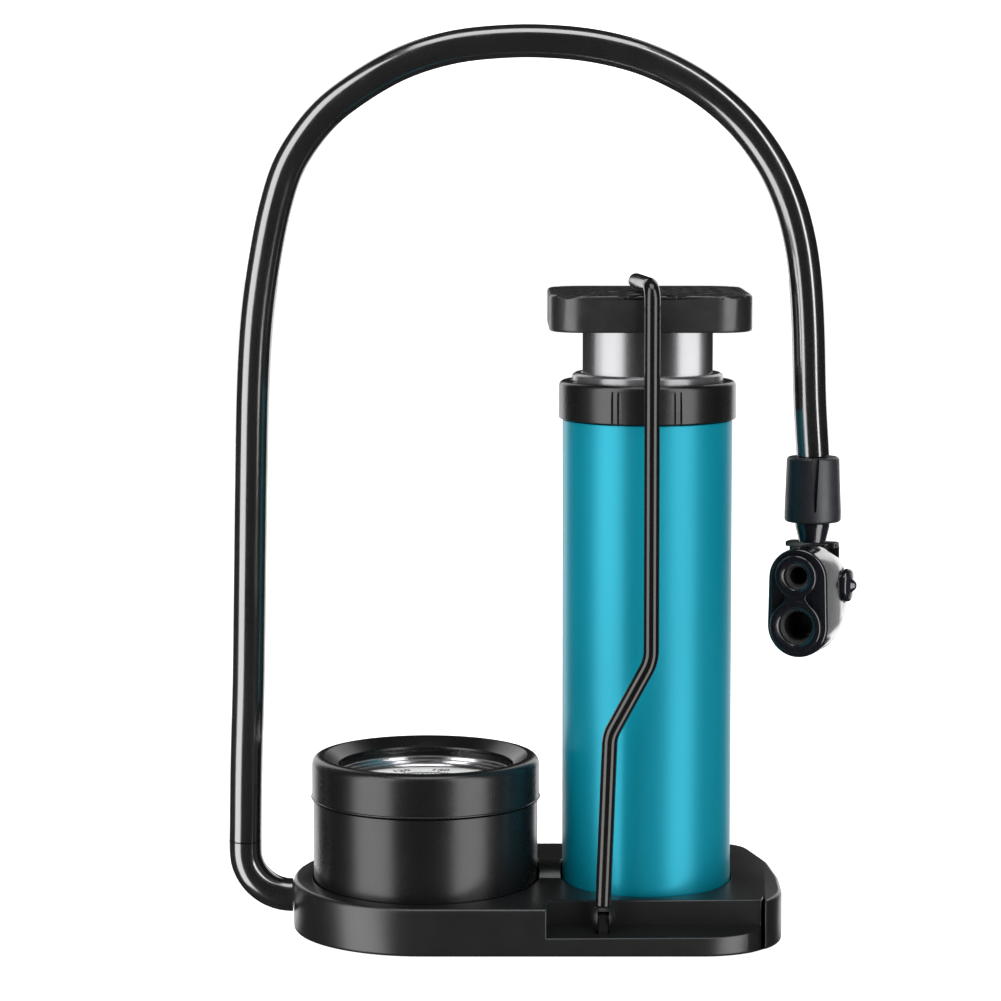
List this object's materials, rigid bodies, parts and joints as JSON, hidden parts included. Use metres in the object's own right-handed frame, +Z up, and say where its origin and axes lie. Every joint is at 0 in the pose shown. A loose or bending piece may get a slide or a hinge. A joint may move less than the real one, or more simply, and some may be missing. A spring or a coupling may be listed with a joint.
{
  "type": "foot pump",
  "caption": "Compact foot-operated bike pump: flat base, upright barrel with a sprung plunger held down by a wire bail, round pressure gauge, hose with a twin valve head.",
  "frame": {"origin": "under the middle of the base, on the surface the pump rests on", "axes": "+Z up along the barrel, +X from the gauge towards the barrel, -Y towards the side with the bail"},
  "size_m": [0.1677, 0.07, 0.2412],
  "materials": {
    "black_plastic": "semi-gloss moulded black",
    "satin_plastic": "satin moulded black",
    "grip_plastic": "fine matt grain, blue-black",
    "rubber": "matt black rubber",
    "hose_rubber": "smooth shiny black hose",
    "teal_anodised": "satin teal anodising",
    "chrome": "polished",
    "silver_ring": "bright silver",
    "alloy": "turned",
    "brass": "turned",
    "steel": "plain",
    "black_steel": "gloss black coating",
    "grey_plastic": "smooth grey",
    "dial_white": "white enamel face, black printing",
    "clear_lens": "clear"
  },
  "bodies": {
    "base": {"air_pipe": "brass", "bail_lug": "black_plastic", "bail_pin": "steel", "barrel": "teal_anodised", "barrel_cap": "black_plastic", "barrel_foot": "alloy", "barrel_seal": "rubber", "base_foot_1": "rubber", "base_foot_2": "rubber", "base_foot_3": "rubber", "base_foot_4": "rubber", "base_plate": "satin_plastic", "base_screw_1": "steel", "base_screw_2": "steel", "base_screw_3": "steel", "base_screw_4": "steel", "base_shell": "black_plastic", "bourdon_tube": "brass", "check_valve": "rubber", "gauge_bezel": "black_plastic", "gauge_dial": "dial_white", "gauge_housing": "black_plastic", "gauge_inner_ring": "silver_ring", "gauge_lens": "clear_lens", "gauge_socket": "brass", "guide_bush": "grey_plastic", "head_body": "black_plastic", "hose": "hose_rubber", "hose_collar": "grip_plastic", "hose_elbow": "hose_rubber", "hose_neck": "black_plastic", "lever_pin": "black_plastic", "movement_plate": "brass", "port_ring_lower": "black_plastic", "port_ring_upper": "black_plastic", "presta_seal": "rubber", "return_spring": "steel", "schrader_seal": "rubber", "wiper_ring": "grey_plastic"},
    "plunger": {"plunger_tube": "chrome", "piston": "alloy", "piston_seal": "rubber", "pedal": "satin_plastic"},
    "bail": {"bail_wire": "black_steel", "bail_knuckle": "black_plastic"},
    "needle": {"gauge_needle": "black_plastic", "needle_arbor": "brass"},
    "sector": {"sector_gear": "steel"},
    "head_lever": {"head_lever": "satin_plastic"}
  },
  "joints": [
    {"name": "plunger_slide", "type": "slide", "parent": "base", "child": "plunger", "axis": [0, 0, 1], "range_m": [-0.0115, 0], "stiffness_N_per_m": 400, "springref_m": 0.02, "deforming": ["return_spring"]},
    {"name": "bail_swing", "type": "hinge", "parent": "base", "child": "bail", "pos_m": [0.0171, -0.03, 0.01], "axis": [1, 0, 0], "range_deg": [0, 88]},
    {"name": "sector_turn", "type": "hinge", "parent": "base", "child": "sector", "pos_m": [-0.0296, -0.015, 0.0268], "axis": [0, 0, 1], "range_deg": [0, 29], "stiffness_Nm_per_rad": 0.002, "springref_deg": -2.86},
    {"name": "needle_turn", "type": "hinge", "parent": "base", "child": "needle", "pos_m": [-0.0296, 0, 0.04], "axis": [0, 0, 1], "range_deg": [-262, 0]},
    {"name": "lever_flip", "type": "hinge", "parent": "base", "child": "head_lever", "pos_m": [0.07555, 0.00439, 0.0925], "axis": [-0.9135, 0.4067, 0], "range_deg": [0, 90]}
  ],
  "couplings": [
    {"joint": "needle_turn", "follows": "sector_turn", "ratio": -9}
  ]
}
